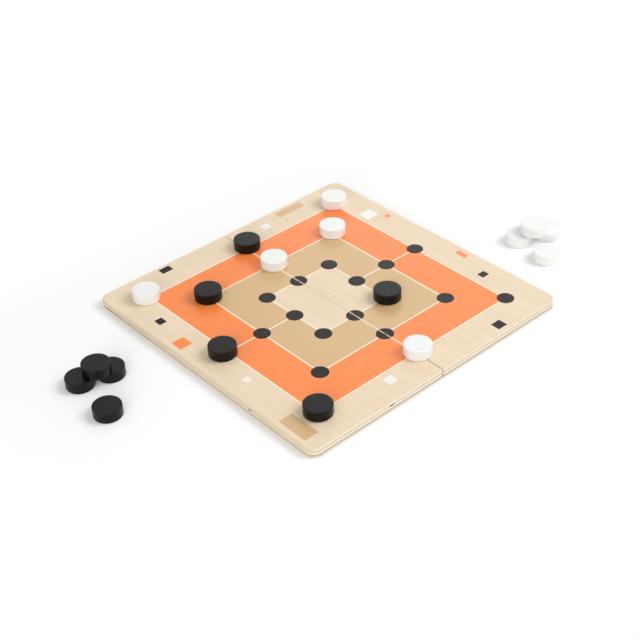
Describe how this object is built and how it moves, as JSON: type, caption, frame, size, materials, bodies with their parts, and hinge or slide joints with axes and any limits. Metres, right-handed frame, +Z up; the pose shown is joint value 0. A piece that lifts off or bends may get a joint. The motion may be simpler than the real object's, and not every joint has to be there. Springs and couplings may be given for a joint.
{
  "type": "folding mill board game set",
  "caption": "Square plywood mill board in two halves on a cloth hinge, with printed squares and points, and white and black turned wooden men on and beside it.",
  "frame": {"origin": "middle of the open board, on its underside, which is also the middle of the whole set's footprint", "axes": "+Z up out of the printed side, Y along the seam with the front edge at -Y, +X across the seam to the right half"},
  "size_m": [0.4954, 0.3, 0.021],
  "materials": {
    "plywood": "birch plywood, printed with satin inks on top",
    "hinge_cloth": "woven linen tape",
    "white_paint": "turned wood, satin white paint",
    "black_paint": "turned wood, satin black paint"
  },
  "bodies": {
    "left_leaf": {"left_leaf": "plywood", "hinge_tape_left": "hinge_cloth"},
    "right_leaf": {"right_leaf": "plywood", "hinge_tape_right": "hinge_cloth"},
    "white_man_1": {"white_man_1": "white_paint"},
    "white_man_2": {"white_man_2": "white_paint"},
    "white_man_3": {"white_man_3": "white_paint"},
    "white_man_4": {"white_man_4": "white_paint"},
    "white_man_5": {"white_man_5": "white_paint"},
    "white_man_6": {"white_man_6": "white_paint"},
    "white_man_7": {"white_man_7": "white_paint"},
    "white_man_8": {"white_man_8": "white_paint"},
    "white_man_9": {"white_man_9": "white_paint"},
    "black_man_1": {"black_man_1": "black_paint"},
    "black_man_2": {"black_man_2": "black_paint"},
    "black_man_3": {"black_man_3": "black_paint"},
    "black_man_4": {"black_man_4": "black_paint"},
    "black_man_5": {"black_man_5": "black_paint"},
    "black_man_6": {"black_man_6": "black_paint"},
    "black_man_7": {"black_man_7": "black_paint"},
    "black_man_8": {"black_man_8": "black_paint"},
    "black_man_9": {"black_man_9": "black_paint"}
  },
  "joints": [
    {"name": "fold", "type": "hinge", "parent": "left_leaf", "child": "right_leaf", "pos_m": [0, 0, 0], "axis": [0, 1, 0], "range_deg": [0, 180]},
    {"name": "white_man_1_lift", "type": "slide", "parent": "left_leaf", "child": "white_man_1", "axis": [0, 0, 1], "range_m": [0, 0.06]},
    {"name": "white_man_2_lift", "type": "slide", "parent": "left_leaf", "child": "white_man_2", "axis": [0, 0, 1], "range_m": [0, 0.06]},
    {"name": "white_man_3_lift", "type": "slide", "parent": "right_leaf", "child": "white_man_3", "axis": [0, 0, 1], "range_m": [0, 0.06]},
    {"name": "white_man_4_lift", "type": "slide", "parent": "right_leaf", "child": "white_man_4", "axis": [0, 0, 1], "range_m": [0, 0.06]},
    {"name": "white_man_5_lift", "type": "slide", "parent": "left_leaf", "child": "white_man_5", "axis": [0, 0, 1], "range_m": [0, 0.06]},
    {"name": "white_man_6_slide", "type": "slide", "parent": "left_leaf", "child": "white_man_6", "axis": [-0.9164, 0.4003, 0], "range_m": [0, 0.03]},
    {"name": "white_man_7_slide", "type": "slide", "parent": "left_leaf", "child": "white_man_7", "axis": [0.9164, -0.4003, 0], "range_m": [0, 0.03]},
    {"name": "white_man_8_lift", "type": "slide", "parent": "left_leaf", "child": "white_man_8", "axis": [0, 0, 1], "range_m": [0, 0.06]},
    {"name": "white_man_9_lift", "type": "slide", "parent": "left_leaf", "child": "white_man_9", "axis": [0, 0, 1], "range_m": [0, 0.06]},
    {"name": "black_man_1_lift", "type": "slide", "parent": "left_leaf", "child": "black_man_1", "axis": [0, 0, 1], "range_m": [0, 0.06]},
    {"name": "black_man_2_lift", "type": "slide", "parent": "left_leaf", "child": "black_man_2", "axis": [0, 0, 1], "range_m": [0, 0.06]},
    {"name": "black_man_3_lift", "type": "slide", "parent": "left_leaf", "child": "black_man_3", "axis": [0, 0, 1], "range_m": [0, 0.06]},
    {"name": "black_man_4_lift", "type": "slide", "parent": "left_leaf", "child": "black_man_4", "axis": [0, 0, 1], "range_m": [0, 0.06]},
    {"name": "black_man_5_lift", "type": "slide", "parent": "right_leaf", "child": "black_man_5", "axis": [0, 0, 1], "range_m": [0, 0.06]},
    {"name": "black_man_6_slide", "type": "slide", "parent": "left_leaf", "child": "black_man_6", "axis": [-0.9716, 0.2368, 0], "range_m": [0, 0.03]},
    {"name": "black_man_7_slide", "type": "slide", "parent": "left_leaf", "child": "black_man_7", "axis": [0.9716, -0.2368, 0], "range_m": [0, 0.03]},
    {"name": "black_man_8_lift", "type": "slide", "parent": "left_leaf", "child": "black_man_8", "axis": [0, 0, 1], "range_m": [0, 0.06]},
    {"name": "black_man_9_lift", "type": "slide", "parent": "left_leaf", "child": "black_man_9", "axis": [0, 0, 1], "range_m": [0, 0.06]}
  ]
}
